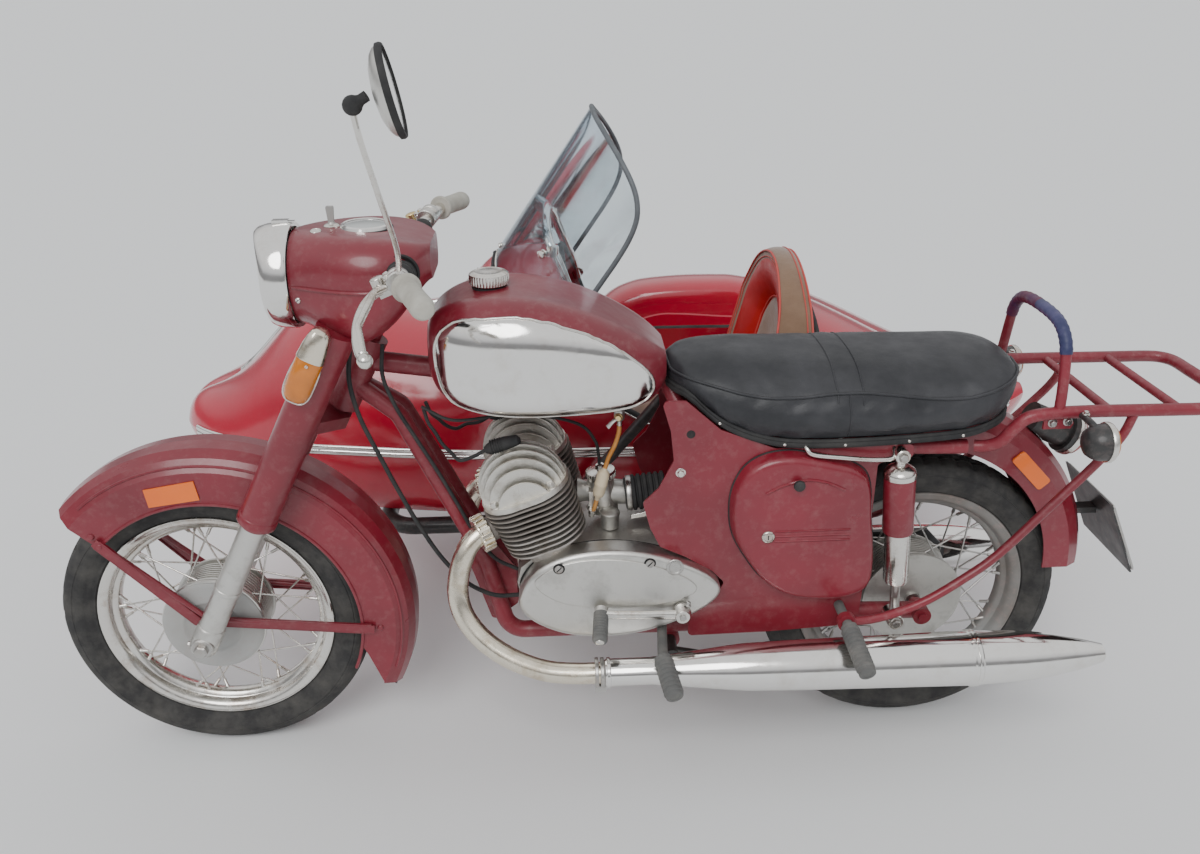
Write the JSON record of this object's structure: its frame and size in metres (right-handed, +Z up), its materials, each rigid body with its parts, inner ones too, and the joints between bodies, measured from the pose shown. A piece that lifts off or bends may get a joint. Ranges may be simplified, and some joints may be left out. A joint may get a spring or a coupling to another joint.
{
  "type": "motorcycle with sidecar",
  "caption": "Twin-cylinder touring motorcycle with spoked wheels, dual seat, rear rack and a torpedo-shaped sidecar with windscreen on its right side.",
  "frame": {"origin": "middle of the whole outfit's outline, on the ground", "axes": "front to -X, motorcycle's left side to -Y, sidecar to +Y, +Z up"},
  "size_m": [2.134, 1.5838, 1.3186],
  "materials": {
    "tyre": "worn black rubber",
    "rim_chrome": "dulled chrome with light rust",
    "rim_grey": "silver-grey paint, worn",
    "dark_red": "aged dark red paint",
    "frame_red": "aged dark red paint, scuffed",
    "alloy": "dull cast alloy",
    "iron": "dark cast iron fins",
    "chrome": "aged bright chrome",
    "grip_grey": "light grey rubber",
    "amber": "amber lens in a bright frame",
    "seat_vinyl": "black vinyl",
    "black_rubber": "dark rubber",
    "lamp_black": "black housing",
    "steel_dark": "black paint",
    "sidecar_red": "glossy bright red paint",
    "clear": "clear sheet with a dark edge trim",
    "seat_cloth": "red and brown cloth"
  },
  "bodies": {
    "chassis": {"fuel_tank": "dark_red", "centre_body": "dark_red", "side_covers": "dark_red", "rear_mudguard": "dark_red", "chain_case": "dark_red", "main_frame": "frame_red", "swingarm": "frame_red", "rear_rack": "frame_red", "crankcase": "alloy", "case_covers": "alloy", "cylinder_heads": "alloy", "carburettor": "alloy", "cylinders": "iron", "tank_cap": "chrome", "shock_absorbers": "chrome", "exhausts": "chrome", "grab_rail": "chrome", "seat": "seat_vinyl", "footpegs": "black_rubber", "control_cables": "black_rubber", "tail_lamp": "lamp_black", "rear_indicators": "lamp_black", "number_plate": "lamp_black", "sidecar_frame": "steel_dark", "sidecar_hull": "sidecar_red", "sidecar_deck": "sidecar_red", "sidecar_mudguard": "sidecar_red", "windscreen": "clear", "sidecar_seat": "seat_cloth"},
    "fork": {"fork_yoke": "dark_red", "fork_legs": "alloy", "nacelle": "dark_red", "headlamp": "chrome", "handlebar": "chrome", "grips": "grip_grey", "mirror": "chrome", "fork_lamps": "amber", "front_mudguard": "dark_red"},
    "front_wheel": {"front_tyre": "tyre", "front_rim": "rim_chrome"},
    "rear_wheel": {"rear_tyre": "tyre", "rear_rim": "rim_grey"},
    "sidecar_wheel": {"sidecar_tyre": "tyre", "sidecar_rim": "rim_grey"},
    "stand": {"centre_stand": "steel_dark"},
    "backrest": {"backrest": "seat_cloth"}
  },
  "joints": [
    {"name": "steering", "type": "hinge", "parent": "chassis", "child": "fork", "pos_m": [-0.43, -0.4062, 0.841], "axis": [0.4617, 0, 0.887], "range_deg": [-32, 32]},
    {"name": "front_wheel_spin", "type": "hinge", "parent": "fork", "child": "front_wheel", "pos_m": [-0.78, -0.4062, 0.287], "axis": [0, 1, 0], "continuous": true},
    {"name": "rear_wheel_spin", "type": "hinge", "parent": "chassis", "child": "rear_wheel", "pos_m": [0.547, -0.4062, 0.287], "axis": [0, 1, 0], "continuous": true},
    {"name": "sidecar_wheel_spin", "type": "hinge", "parent": "chassis", "child": "sidecar_wheel", "pos_m": [0.357, 0.7138, 0.287], "axis": [0, 1, 0], "continuous": true},
    {"name": "stand_fold", "type": "hinge", "parent": "chassis", "child": "stand", "pos_m": [0.077, -0.4062, 0.226], "axis": [0, 1, 0], "range_deg": [0, 78], "stiffness_Nm_per_rad": 6, "springref_deg": -57.3},
    {"name": "backrest_fold", "type": "hinge", "parent": "chassis", "child": "backrest", "pos_m": [0.295, 0.2388, 0.432], "axis": [0, -1, 0], "range_deg": [0, 60]}
  ]
}
